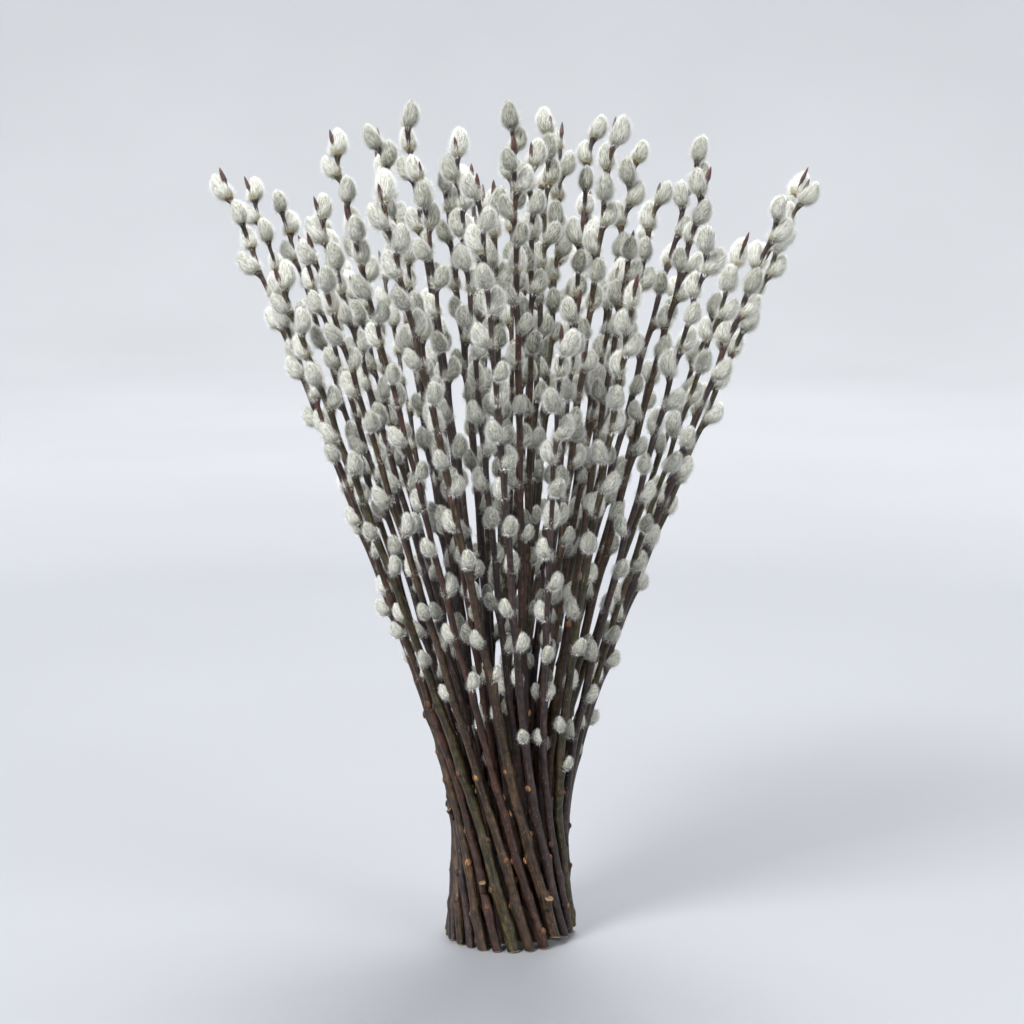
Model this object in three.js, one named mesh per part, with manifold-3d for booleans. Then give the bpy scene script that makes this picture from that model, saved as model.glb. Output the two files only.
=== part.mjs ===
// A standing bunch of pussy willow: branches laid in a spiral round a narrow waist, with their cut ends
// on the floor and their tips spread above. Each branch is one grown piece, so its wood and its catkins
// are joined into one solid. A thin wire holds the inner branches at the waist, behind the outer ring.
// Millimetres, +Z up. The origin is on the floor, under the middle of the whole bunch's box.
import * as THREE from "three";
import { mergeVertices } from "three/addons/utils/BufferGeometryUtils.js";
import Module from "manifold-3d";

// ---- driving dimensions ----
const BRANCH_LENGTH = 634; // of the longest branch, along the wood, foot to tip
const SHORTEST = 0.8; // the shortest branch, as a share of the longest
const WAIST_HEIGHT = 72; // where the bunch is narrowest
const INNER_COUNT = 34; // branches inside the wire
const OUTER_COUNT = 25; // branches in the ring outside the wire
const WAIST_RADIUS = 42; // of that ring, from the bunch's middle to the middles of its branches
const WIRE_RADIUS = 36;
const WOOD_RADIUS_FOOT = 4.6;
const WOOD_RADIUS_TIP = 1.5;
const THINNEST = 0.7; // the thinnest branch, as a share of the thickest
const TIP_BUD_LENGTH = 11; // the bare pointed bud that ends a branch
const CATKIN_LENGTH_TOP = 22;
const CATKIN_LENGTH_LOW = 12.5;
const CATKIN_WIDTH = 0.64; // of its length
const CATKIN_WIDEST = 0.42; // of its length, from the base
const CATKIN_BEND = 0.2; // of its length, how far its middle bows away from the wood
const CATKIN_SPACING_TOP = 16.5;
const CATKIN_SPACING_LOW = 48;
const WIRE_THICKNESS = 1;
const FOOT_LIFT = 6; // the most that a short foot stays off the floor

// ---- the shape of the bunch ----
const WAIST_LEAN = THREE.MathUtils.degToRad(16); // of the outer branches, sideways, where they cross the waist
const TWIST = -Math.tan(WAIST_LEAN) / WAIST_RADIUS; // the branches turn left as they rise at the front
const SPREAD = 0.0072; // how fast the bunch opens above the waist
const SPREAD_BEND = 110; // the height over which the opening sets in
const STRAY_WAIST = 0.25; // how far a branch strays from its place at the waist
const STRAY_TOP = 3.5; // the same far above, before the bunch's spread enlarges it
const STRAY_BEND = 170;
const CLEARANCE = 0.7; // least gap between a catkin and anything on another branch

// ---- how finely the solids are faceted ----
const WOOD_SIDES = 5;
const FATTEN = 1.06; // a facetted rod is drawn this much wider, so that it holds as much as a round one
const WOOD_STEPS = 7;
const CATKIN_SIDES = 4;
const WIRE_STEPS = 36;
const PACKING_ROUNDS = 900;
const FINEST = 0.03; // edges shorter than this are closed up where solids are joined

const wasm = await Module();
wasm.setup();

// A repeatable run of numbers from 0 to 1, the same for a given seed in any language.
function chance(seed) {
  const modulus = 2147483647;
  let state = (seed * 7919 + 104729) % modulus;
  const next = () => {
    state = (state * 16807) % modulus;
    return state / modulus;
  };
  next();
  next();
  return next;
}

const mix = (low, high, share) => low + (high - low) * share;

// The branches' own sizes and their places at the waist.
function makeBranches() {
  const branches = Array.from({ length: INNER_COUNT + OUTER_COUNT }, (_, index) =>
    makeBranch(chance(index + 1)),
  );
  packInside(branches.slice(0, INNER_COUNT));
  ringOutside(branches.slice(INNER_COUNT));
  for (const branch of branches) {
    const drift =
      Math.hypot(branch.x, branch.y) * Math.hypot(TWIST, 0.82 * SPREAD) * branch.length;
    branch.top = Math.sqrt(branch.length ** 2 - drift ** 2);
  }
  return branches;
}

// A branch's own differences.
function makeBranch(next) {
  return {
    girth: mix(THINNEST, 1, next()),
    room: mix(0.15, 1, next()),
    heading: 2 * Math.PI * next(),
    swing: mix(-2, 2, next()),
    stray: mix(0.35, 1, next()),
    foot: FOOT_LIFT * Math.max(0, mix(-1.6, 1, next())),
    firstAngle: 2 * Math.PI * next(),
    length: BRANCH_LENGTH * mix(1, SHORTEST, next() ** 2),
    lowest: mix(WAIST_HEIGHT + 50, WAIST_HEIGHT + 230, next()),
    next,
  };
}

// The room that a branch takes up at the waist.
const thick = (branch) => 2 * FATTEN * WOOD_RADIUS_FOOT * branch.girth + CLEARANCE;

// The branches inside the wire start on a spiral like a sunflower's seeds. Then any two that are too
// close are pushed apart, and any that touches the wire is pushed back in, until all have room.
function packInside(members) {
  const goldenAngle = Math.PI * (3 - Math.sqrt(5));
  const edge = WIRE_RADIUS - 0.5 * WIRE_THICKNESS;
  members.forEach((branch, k) => {
    const radius = 0.88 * edge * Math.sqrt((k + 0.5) / members.length);
    branch.x = radius * Math.cos(goldenAngle * k);
    branch.y = radius * Math.sin(goldenAngle * k);
  });
  for (let round = 0; round < PACKING_ROUNDS; round++) {
    for (const one of members)
      for (const other of members) {
        const [dx, dy] = [other.x - one.x, other.y - one.y];
        const apart = Math.hypot(dx, dy);
        const lack = 0.5 * (thick(one) + thick(other)) - apart;
        if (one === other || lack <= 0) continue;
        const push = (0.5 * lack) / apart;
        one.x -= push * dx;
        one.y -= push * dy;
        other.x += push * dx;
        other.y += push * dy;
      }
    for (const branch of members) {
      const out = Math.hypot(branch.x, branch.y);
      const back = Math.min(1, (edge - 0.5 * thick(branch)) / out);
      branch.x *= back;
      branch.y *= back;
    }
  }
}

// Round the outer ring the branches stand in uneven gaps: each takes its own thickness and its own share
// of the room that is left over.
function ringOutside(members) {
  const around = 2 * Math.PI * WAIST_RADIUS * Math.cos(WAIST_LEAN);
  const taken = members.reduce((sum, branch) => sum + thick(branch), 0);
  const shares = members.reduce((sum, branch) => sum + branch.room, 0);
  let passed = 0;
  for (const branch of members) {
    const own = thick(branch) + ((around - taken) * branch.room) / shares;
    const angle = (2 * Math.PI * (passed + 0.5 * own)) / around;
    passed += own;
    branch.x = WAIST_RADIUS * Math.cos(angle);
    branch.y = WAIST_RADIUS * Math.sin(angle);
  }
}

// The middle of a branch at height z. Every branch starts from its place at the waist, and the whole
// waist is turned and enlarged with height, so that neighbours stay neighbours and never meet.
function centre(branch, z) {
  const above = Math.max(z - WAIST_HEIGHT, 0);
  const open = 1 + SPREAD * (Math.hypot(above, SPREAD_BEND) - SPREAD_BEND);
  const turn = TWIST * (z - WAIST_HEIGHT);
  const reach = mix(STRAY_TOP, STRAY_WAIST, Math.exp(-above / STRAY_BEND)) * branch.stray;
  const heading = branch.heading + (branch.swing * above) / BRANCH_LENGTH;
  const x = branch.x + reach * Math.cos(heading);
  const y = branch.y + reach * Math.sin(heading);
  return new THREE.Vector3(x * open - y * turn, x * turn + y * open, z);
}

function direction(branch, z) {
  return centre(branch, z + 1).sub(centre(branch, z - 1)).normalize();
}

function woodRadius(branch, z) {
  const share = (z - branch.foot) / (branch.top - branch.foot);
  return mix(WOOD_RADIUS_FOOT, WOOD_RADIUS_TIP, share ** 0.9) * branch.girth;
}

// ---- catkins ----

// The spheres that stand for a catkin when its room is tested: how far along it, how far outwards from
// its straight axis and how wide, all as shares of its length.
const TEST_SPHERES = [
  [0.32, 0.15, 0.31],
  [0.5, 0.16, 0.36],
  [0.74, 0.09, 0.26],
];
const TURNS_TO_TRY = [0, 0.6, -0.6, 1.2, -1.2, 1.9, -1.9, Math.PI];
const SIZES_TO_TRY = [1, 0.84];

// A catkin at height z, pointing up and away from the wood on the side that the angle gives.
function makeCatkin(branch, z, angle, lean, length) {
  const along = direction(branch, z);
  const across = new THREE.Vector3(Math.cos(angle), Math.sin(angle), 0);
  across.addScaledVector(along, -across.dot(along)).normalize();
  const axis = along
    .clone()
    .multiplyScalar(Math.cos(lean))
    .addScaledVector(across, Math.sin(lean));
  const base = centre(branch, z).addScaledVector(across, 0.5 * woodRadius(branch, z));
  const spheres = TEST_SPHERES.map(([at, out, size]) => ({
    centre: base
      .clone()
      .addScaledVector(axis, at * length)
      .addScaledVector(across, out * length),
    radius: size * length,
  }));
  return { base, axis, across, length, spheres };
}

// Whether a catkin stays clear of the other branches' wood and of every catkin made so far.
function hasRoom(catkin, branch, branches, made) {
  for (const { centre: point, radius } of catkin.spheres) {
    for (const other of branches) {
      if (other === branch || point.z > other.top + radius) continue;
      const gap = centre(other, point.z).distanceTo(point) * direction(other, point.z).z;
      if (gap < radius + woodRadius(other, Math.min(point.z, other.top)) + CLEARANCE)
        return false;
    }
    for (const other of made)
      for (const sphere of other.spheres)
        if (sphere.centre.distanceTo(point) < sphere.radius + radius + CLEARANCE)
          return false;
  }
  return true;
}

// Places the catkins of every branch, from the tip down: close together and large near the tip, small
// and far apart below. One that has no room is turned round the wood, then made smaller, then left out.
function placeCatkins(branches) {
  const made = [];
  for (const branch of branches) {
    branch.catkins = [];
    const next = branch.next;
    let z = branch.top - mix(TIP_BUD_LENGTH, TIP_BUD_LENGTH + 14, next());
    for (let turn = 0; z > branch.lowest; turn++) {
      const share = (z - branch.lowest) / (branch.top - branch.lowest);
      const full =
        mix(CATKIN_LENGTH_LOW, CATKIN_LENGTH_TOP, share ** 0.6) * mix(0.86, 1.06, next());
      const angle = branch.firstAngle + 2.42 * turn + mix(-0.4, 0.4, next());
      const lean = mix(0.24, 0.5, next());
      const found = SIZES_TO_TRY.flatMap((size) =>
        TURNS_TO_TRY.map((step) => [size, step]),
      ).reduce((kept, [size, step]) => {
        if (kept) return kept;
        const tried = makeCatkin(branch, z, angle + step, lean, full * size);
        return hasRoom(tried, branch, branches, made) ? tried : null;
      }, null);
      if (found) {
        branch.catkins.push(found);
        made.push(found);
      }
      const spacing = mix(CATKIN_SPACING_LOW, CATKIN_SPACING_TOP, share ** 0.55);
      z -= spacing * mix(0.84, 1.16, next());
    }
  }
  return made.length;
}

// ---- solids ----

function solidFrom(points, triangles) {
  const geometry = new THREE.BufferGeometry();
  geometry.setAttribute("position", new THREE.Float32BufferAttribute(points, 3));
  geometry.setIndex(triangles);
  const merged = mergeVertices(geometry, 1e-4);
  return new wasm.Manifold(
    new wasm.Mesh({
      numProp: 3,
      vertProperties: merged.attributes.position.array,
      triVerts: new Uint32Array(merged.index.array),
    }),
  );
}

// A closed solid of stacked rings, each with the same number of points, with a point under the first
// ring and one over the last.
function stack(rings, below, above) {
  const sides = rings[0].length;
  const points = [...rings.flat(), below, above].flatMap((p) => p.toArray());
  const [low, high] = [rings.length * sides, rings.length * sides + 1];
  const triangles = [];
  for (let k = 0; k < sides; k++) {
    const next = (k + 1) % sides;
    const last = (rings.length - 1) * sides;
    triangles.push(low, next, k, high, last + k, last + next);
    for (let ring = 0; ring + 1 < rings.length; ring++) {
      const [a, b] = [ring * sides + k, ring * sides + next];
      triangles.push(a, b, b + sides, a, b + sides, a + sides);
    }
  }
  return solidFrom(points, triangles);
}

// Level rings round the branch's middle line, from the flat cut at its foot to its pointed bud.
function woodSolid(branch) {
  const shoulder = branch.top - TIP_BUD_LENGTH;
  const rings = [];
  for (let step = 0; step <= WOOD_STEPS; step++) {
    const z = mix(branch.foot, shoulder, step / WOOD_STEPS);
    const middle = centre(branch, z);
    const radius = FATTEN * woodRadius(branch, z);
    rings.push(
      Array.from({ length: WOOD_SIDES }, (_, k) => {
        const angle = branch.firstAngle + (k / WOOD_SIDES) * 2 * Math.PI;
        return new THREE.Vector3(
          middle.x + radius * Math.cos(angle),
          middle.y + radius * Math.sin(angle),
          z,
        );
      }),
    );
  }
  return stack(rings, centre(branch, branch.foot), centre(branch, branch.top));
}

// A plain egg of flat faces, with its lower point inside the wood.
function catkinSolid({ base, axis, across, length }) {
  const beside = new THREE.Vector3().crossVectors(axis, across).normalize();
  const outward = new THREE.Vector3().crossVectors(beside, axis);
  const middle = base
    .clone()
    .addScaledVector(axis, CATKIN_WIDEST * length)
    .addScaledVector(outward, CATKIN_BEND * length);
  const radius = 0.5 * CATKIN_WIDTH * length;
  const ring = Array.from({ length: CATKIN_SIDES }, (_, k) => {
    const angle = ((k + 0.5) / CATKIN_SIDES) * 2 * Math.PI;
    return middle
      .clone()
      .addScaledVector(outward, radius * Math.cos(angle))
      .addScaledVector(beside, radius * Math.sin(angle));
  });
  return stack([ring], base, base.clone().addScaledVector(axis, length));
}

function geometryOf(solid) {
  const mesh = solid.getMesh();
  const geometry = new THREE.BufferGeometry();
  const positions = new Float32Array(mesh.numVert * 3);
  for (let i = 0; i < mesh.numVert; i++)
    positions.set(mesh.vertProperties.subarray(i * mesh.numProp, i * mesh.numProp + 3), i * 3);
  geometry.setAttribute("position", new THREE.BufferAttribute(positions, 3));
  geometry.setIndex(new THREE.BufferAttribute(mesh.triVerts, 1));
  return geometry.toNonIndexed();
}

// The wire's ring, which runs between the outer ring of branches and the one inside it.
function wireGeometry() {
  const radius = WIRE_RADIUS;
  const half = WIRE_THICKNESS / 2;
  const section = [
    [radius - half, WAIST_HEIGHT],
    [radius, WAIST_HEIGHT - half],
    [radius + half, WAIST_HEIGHT],
    [radius, WAIST_HEIGHT + half],
    [radius - half, WAIST_HEIGHT],
  ].map(([r, z]) => new THREE.Vector2(r, z));
  const geometry = new THREE.LatheGeometry(section, WIRE_STEPS);
  geometry.rotateX(Math.PI / 2);
  return geometry;
}

const bark = new THREE.MeshStandardMaterial({ color: 0x4a3832, roughness: 0.6, metalness: 0 });
const wire = new THREE.MeshStandardMaterial({ color: 0x3a2a20, roughness: 0.8, metalness: 0 });

const bunch = new THREE.Group();
const branches = makeBranches();
placeCatkins(branches);

branches.forEach((branch, index) => {
  const solid = branch.catkins.reduce(
    (joined, catkin) => joined.add(catkinSolid(catkin)),
    woodSolid(branch),
  );
  const mesh = new THREE.Mesh(geometryOf(solid.simplify(FINEST)), bark);
  mesh.name = "branch_" + String(index + 1).padStart(2, "0");
  bunch.add(mesh);
});

const binding = new THREE.Mesh(wireGeometry(), wire);
binding.name = "binding_wire";
bunch.add(binding);

// The box's middle is a little off the middle of the feet: the whole bunch moves over by that much.
const middle = new THREE.Box3().setFromObject(bunch).getCenter(new THREE.Vector3());
for (const mesh of bunch.children) mesh.geometry.translate(-middle.x, -middle.y, 0);

export default bunch;
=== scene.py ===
"""A standing bunch of pussy willow branches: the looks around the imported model.

Each branch has two pieces: its wood (bark, nodes, bud scars, twig stubs, cut foot and tip bud) and its
catkins (firm cores under silky fur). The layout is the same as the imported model's: the same numbers and
formulas give each branch's line and the place of each catkin. Lengths are in millimetres until a mesh is
made, and in metres in the mesh.
"""

import itertools
import math
from types import SimpleNamespace

import bpy
import numpy as np
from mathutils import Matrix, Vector


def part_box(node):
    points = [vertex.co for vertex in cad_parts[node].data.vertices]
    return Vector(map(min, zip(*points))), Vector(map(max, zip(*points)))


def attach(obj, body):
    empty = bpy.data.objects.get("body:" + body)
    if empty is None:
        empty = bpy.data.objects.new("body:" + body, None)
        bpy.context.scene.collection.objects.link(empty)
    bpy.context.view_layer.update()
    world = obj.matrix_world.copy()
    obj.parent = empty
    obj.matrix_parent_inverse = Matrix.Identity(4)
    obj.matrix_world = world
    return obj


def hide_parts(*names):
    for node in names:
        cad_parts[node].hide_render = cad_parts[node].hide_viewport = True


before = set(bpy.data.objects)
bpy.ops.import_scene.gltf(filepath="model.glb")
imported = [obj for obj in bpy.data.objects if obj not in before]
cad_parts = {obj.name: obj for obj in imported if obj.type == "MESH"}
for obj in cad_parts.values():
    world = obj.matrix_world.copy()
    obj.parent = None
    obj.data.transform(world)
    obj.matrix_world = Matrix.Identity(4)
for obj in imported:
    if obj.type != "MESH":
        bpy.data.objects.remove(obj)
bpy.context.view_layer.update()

# ---- driving dimensions, in millimetres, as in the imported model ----
BRANCH_LENGTH = 634  # of the longest branch
SHORTEST = 0.8  # the shortest branch may be, of the longest
WAIST_HEIGHT = 72
WAIST_RADIUS = 42  # to the middles of the outermost branches
WOOD_RADIUS_FOOT = 4.6
WOOD_RADIUS_TIP = 1.5
THINNEST = 0.7  # the thinnest branch may be, of the thickest
TIP_BUD_LENGTH = 11
CATKIN_LENGTH_TOP = 22
CATKIN_LENGTH_LOW = 12.5
CATKIN_SPACING_TOP = 16.5
CATKIN_SPACING_LOW = 48
LOWEST_CATKIN = (WAIST_HEIGHT + 50, WAIST_HEIGHT + 230)  # where a branch's lowest catkin may be
CATKIN_LEAN = (0.24, 0.5)  # radians from its branch
NODE_TURN = 2.42  # radians round the wood from one node to the next
FOOT_LIFT = 6  # the most that a foot is off the floor
WAIST_LEAN = math.radians(16)  # of the outermost branches
TWIST = -math.tan(WAIST_LEAN) / WAIST_RADIUS
SPREAD = 0.0072  # how much wider the bunch gets with each millimetre, of its width at the waist
SPREAD_BEND = 110  # the height over the waist in which it starts to widen
MEAN_SPREAD = 0.82  # how fast it widens on average over a branch, of SPREAD
STRAY_WAIST = 0.25  # how far a branch is from its regular place at the waist
STRAY_TOP = 3.5  # and far over it
STRAY_BEND = 170  # the height in which the one grows into the other
CLEARANCE = 0.7  # between a catkin and its neighbours
MOST_SPHERES = 3000  # room for the catkins' test spheres
# Spheres round a catkin: their place along it, their place towards its outer side, and their radius.
TEST_SPHERES = np.array([[0.32, 0.15, 0.31], [0.5, 0.16, 0.36], [0.74, 0.09, 0.26]])
TURNS_TO_TRY = (0, 0.6, -0.6, 1.2, -1.2, 1.9, -1.9, math.pi)
SIZES_TO_TRY = (1, 0.84)

WIRE_THICKNESS = 1
WIRE_BOX = [np.array(corner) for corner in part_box("binding_wire")]
AXIS = (WIRE_BOX[0] + WIRE_BOX[1]) / 2 * [1, 1, 0]  # the wire's ring is round the bunch's axis

# ---- the looks' own dimensions, in millimetres ----
WOOD_SIDES = 10  # of a rod or a stub
SMALL_SIDES = 8  # of a scar, a cushion or a core
STATION_STEP = 3.2  # between the rings of points along the wood
CUT_SLOPE = 0.3  # the steepest cut across a foot, rise over run
CUT_BLEND = 12  # the height over which the rings turn from the cut to level
NODE_SWELL = 0.2  # how much thicker the wood is at a node
ZIGZAG = 0.5  # how far each node pulls the wood to its own side
SCAR_SPACING = 27  # between bud scars on the bare lower wood
SCAR_LENGTHS = (1.9, 3.2)  # from a scar's middle to its ends
LOWEST_SCAR = (14, 40)  # over the foot
SCARS_BELOW = 16  # the least from a bud scar to the lowest catkin
STUB_HEIGHTS = (18, 120)
STUB_LENGTHS = (7, 10)
STUB_SHARE = 0.2  # of the outermost branches that have a twig's stub
PATTERN_STEP = 83  # how far the bark's pattern moves on from one branch to the next
CATKINS_FROM = 120  # the height of the lowest catkins
CATKINS_RISE = 480  # from there to the highest
CATKIN_WIDTH = 0.72  # with its fur, of its length
CATKIN_WIDEST = 0.37  # where it is widest, of its length from its base
CATKIN_BOW = 0.11  # of its length, how far its middle bows away from the wood
CORE_SHARE = 0.8  # the firm core's width, of the catkin's
CORE_LENGTH = 0.95  # of the catkin's
HAIR_LENGTH = 0.21  # of the catkin's length
HAIR_WIDTH = 0.155  # at its root
HAIRS = 2500  # on a catkin of full length
TONES = 8  # kinds of catkin, from grey-green to white


def chance(seed):
    """Numbers from 0 to 1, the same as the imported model's: state becomes 16807 state mod 2^31 - 1."""
    modulus = 2147483647
    state = (seed * 7919 + 104729) % modulus
    for count in itertools.count():
        state = state * 16807 % modulus
        if count > 1:
            yield state / modulus


def mix(low, high, share):
    """The value at a share of the way from low to high."""
    return low + (high - low) * share


def unit(vectors):
    """Vectors of the same directions, each of length 1."""
    return vectors / np.linalg.norm(vectors, axis=-1, keepdims=True)


def gather(things, *names):
    """An array for each name, with that value of every thing."""
    return (np.array([getattr(thing, name) for thing in things]) for name in names)


# ---- the layout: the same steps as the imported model's ----


def make_branch(number):
    """A branch's own differences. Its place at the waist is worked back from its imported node's foot: there
    the place is turned by TWIST times the height over the waist, after straying a little."""
    random = chance(number)
    branch = SimpleNamespace(random=random, pattern=PATTERN_STEP * float(number))
    branch.girth = mix(THINNEST, 1, next(random))
    next(random)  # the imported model's draw for the branch's room at the waist
    branch.heading = 2 * math.pi * next(random)  # the way in which it strays
    branch.swing = mix(-2, 2, next(random))  # how far that way turns over the longest branch, in radians
    branch.stray = mix(0.35, 1, next(random))  # how far it strays, of the most
    branch.foot = FOOT_LIFT * max(0, mix(-1.6, 1, next(random)))  # most stand on the floor
    branch.first_angle = 2 * math.pi * next(random)
    length = BRANCH_LENGTH * mix(1, SHORTEST, next(random) ** 2)
    branch.lowest = mix(*LOWEST_CATKIN, next(random))
    x, y = foot_of(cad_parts[f"branch_{number:02d}"])
    turn = TWIST * (branch.foot - WAIST_HEIGHT)
    reach = STRAY_WAIST * branch.stray
    branch.x = (x + y * turn) / (1 + turn**2) - reach * math.cos(branch.heading)
    branch.y = (y - x * turn) / (1 + turn**2) - reach * math.sin(branch.heading)
    drift = math.hypot(branch.x, branch.y) * math.hypot(TWIST, MEAN_SPREAD * SPREAD) * length
    branch.top = math.sqrt(length**2 - drift**2)
    return branch


def foot_of(packed):
    """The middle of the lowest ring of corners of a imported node, from the bunch's axis."""
    places = np.zeros(len(packed.data.vertices) * 3, np.float32)
    packed.data.vertices.foreach_get("co", places)
    places = places.reshape(-1, 3)
    lowest = places[places[:, 2] < places[:, 2].min() + 1e-6]
    corners = np.unique(lowest.round(6), axis=0).astype(float)
    return (corners.mean(0) - AXIS)[:2] * 1000


def together(branches):
    """All branches as one, with an array for each number, so that formulas run on all at once."""
    names = ("x", "y", "girth", "heading", "swing", "stray", "foot", "top")
    return SimpleNamespace(**dict(zip(names, gather(branches, *names))))


def centre(branch, z):
    """The middle of a branch at height z: its place at the waist, turned by TWIST times the height over
    the waist and enlarged by a hyperbola of that height, after straying a little of its own."""
    above = np.maximum(z - WAIST_HEIGHT, 0)
    spread = 1 + SPREAD * (np.hypot(above, SPREAD_BEND) - SPREAD_BEND)
    turn = TWIST * (z - WAIST_HEIGHT)
    reach = mix(STRAY_TOP, STRAY_WAIST, np.exp(-above / STRAY_BEND)) * branch.stray
    heading = branch.heading + branch.swing * above / BRANCH_LENGTH
    x = branch.x + reach * np.cos(heading)
    y = branch.y + reach * np.sin(heading)
    return np.stack([x * spread - y * turn, x * turn + y * spread, z + 0 * x], -1)


def direction(branch, z):
    """The way that a branch's line goes at height z."""
    return unit(centre(branch, z + 1) - centre(branch, z - 1))


def wood_radius(branch, z):
    """From foot to tip, the radius falls from one to the other with the 0.9th power of the share."""
    share = np.clip((z - branch.foot) / (branch.top - branch.foot), 0, 1)
    return mix(WOOD_RADIUS_FOOT, WOOD_RADIUS_TIP, share**0.9) * branch.girth


def make_catkin(branch, z, angle, lean, length):
    """A catkin at height z, which leans away from the wood on the side that the angle gives."""
    along = direction(branch, z)
    across = np.array([math.cos(angle), math.sin(angle), 0])
    across = unit(across - along * across.dot(along))
    axis = along * math.cos(lean) + across * math.sin(lean)
    base = centre(branch, z) + across * 0.5 * wood_radius(branch, z)
    at, out, size = TEST_SPHERES.T[..., None]
    centres = base + (axis * at + across * out) * length
    radii = size[:, 0] * length
    return SimpleNamespace(
        z=z, along=along, across=across, axis=axis, base=base, length=length,
        centres=centres, radii=radii,
    )


def has_room(catkin, number, everyone, made):
    """Whether a catkin's spheres stay clear of the other branches' wood and the catkins made so far."""
    z = catkin.centres[:, 2:]
    steps = centre(everyone, z + 1) - centre(everyone, z - 1)
    upright = 2 / np.linalg.norm(steps, axis=-1)
    points = centre(everyone, z)
    gaps = np.linalg.norm(points - catkin.centres[:, None], axis=-1) * upright
    radii = catkin.radii[:, None]
    near = gaps < radii + wood_radius(everyone, np.minimum(z, everyone.top)) + CLEARANCE
    near &= z <= everyone.top + radii
    near[:, number] = False
    if near.any():
        return False
    count = made.count
    apart = np.linalg.norm(made.centres[:count, None] - catkin.centres, axis=-1)
    return not (apart < made.radii[:count, None] + catkin.radii + CLEARANCE).any()


def place_catkins(branches):
    """From the tip down, close together and large near the tip, small and far apart below. One that has
    no room is turned round the wood, then made smaller, then left out."""
    everyone = together(branches)
    made = SimpleNamespace(count=0, centres=np.zeros((MOST_SPHERES, 3)), radii=np.zeros(MOST_SPHERES))
    for number, branch in enumerate(branches):
        branch.catkins = []
        random = branch.random
        z = branch.top - mix(TIP_BUD_LENGTH, TIP_BUD_LENGTH + 14, next(random))
        turn = 0
        while z > branch.lowest:
            share = (z - branch.lowest) / (branch.top - branch.lowest)
            full = mix(CATKIN_LENGTH_LOW, CATKIN_LENGTH_TOP, share**0.6)
            full *= mix(0.86, 1.06, next(random))
            angle = branch.first_angle + NODE_TURN * turn + mix(-0.4, 0.4, next(random))
            lean = mix(*CATKIN_LEAN, next(random))
            for size, step in itertools.product(SIZES_TO_TRY, TURNS_TO_TRY):
                catkin = make_catkin(branch, z, angle + step, lean, full * size)
                if has_room(catkin, number, everyone, made):
                    branch.catkins.append(catkin)
                    end = made.count + len(catkin.radii)
                    made.centres[made.count : end] = catkin.centres
                    made.radii[made.count : end] = catkin.radii
                    made.count = end
                    break
            z -= mix(CATKIN_SPACING_LOW, CATKIN_SPACING_TOP, share**0.55) * mix(0.84, 1.16, next(random))
            turn += 1


# ---- meshes ----


def grid_faces(rings, sides, bodies=1):
    """Faces of closed bodies, each of rings of points and then a first and a last pole. Point s of ring r
    joins point s + 1 and the same two of ring r + 1. The rings run with the body's direction and
    turn to the left, so that the faces look outwards. Returns the four-sided and three-sided ones."""
    r, s = np.meshgrid(np.arange(rings - 1), np.arange(sides), indexing="ij")
    a = r * sides + s
    b = r * sides + (s + 1) % sides
    quads = np.stack([a, b, b + sides, a + sides], -1).reshape(-1, 4)
    side = np.arange(sides)
    low = np.stack([0 * side + rings * sides, (side + 1) % sides, side], -1)
    last = (rings - 1) * sides
    high = np.stack([0 * side + rings * sides + 1, last + side, last + (side + 1) % sides], -1)
    triangles = np.concatenate([low, high])
    shift = (np.arange(bodies) * (rings * sides + 2))[:, None, None]
    return (quads + shift).reshape(-1, 4), (triangles + shift).reshape(-1, 3)


def sweep(middles, radii, u, v, sides, first_pole, last_pole):
    """Points of bodies swept along paths: ring r's point s is the middle plus the radius times
    cos(2 pi s / sides) u + sin(2 pi s / sides) v. Shapes: middles (bodies, rings, 3), radii (bodies,
    rings), u and v broadcast to middles, poles (bodies, 3)."""
    angle = np.arange(sides) * 2 * math.pi / sides
    ways = u[..., None, :] * np.cos(angle)[:, None] + v[..., None, :] * np.sin(angle)[:, None]
    points = middles[..., None, :] + radii[..., None, None] * ways
    bodies = len(points)
    flat = points.reshape(bodies, -1, 3)
    return np.concatenate([flat, first_pole[:, None], last_pole[:, None]], 1).reshape(-1, 3)


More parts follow.
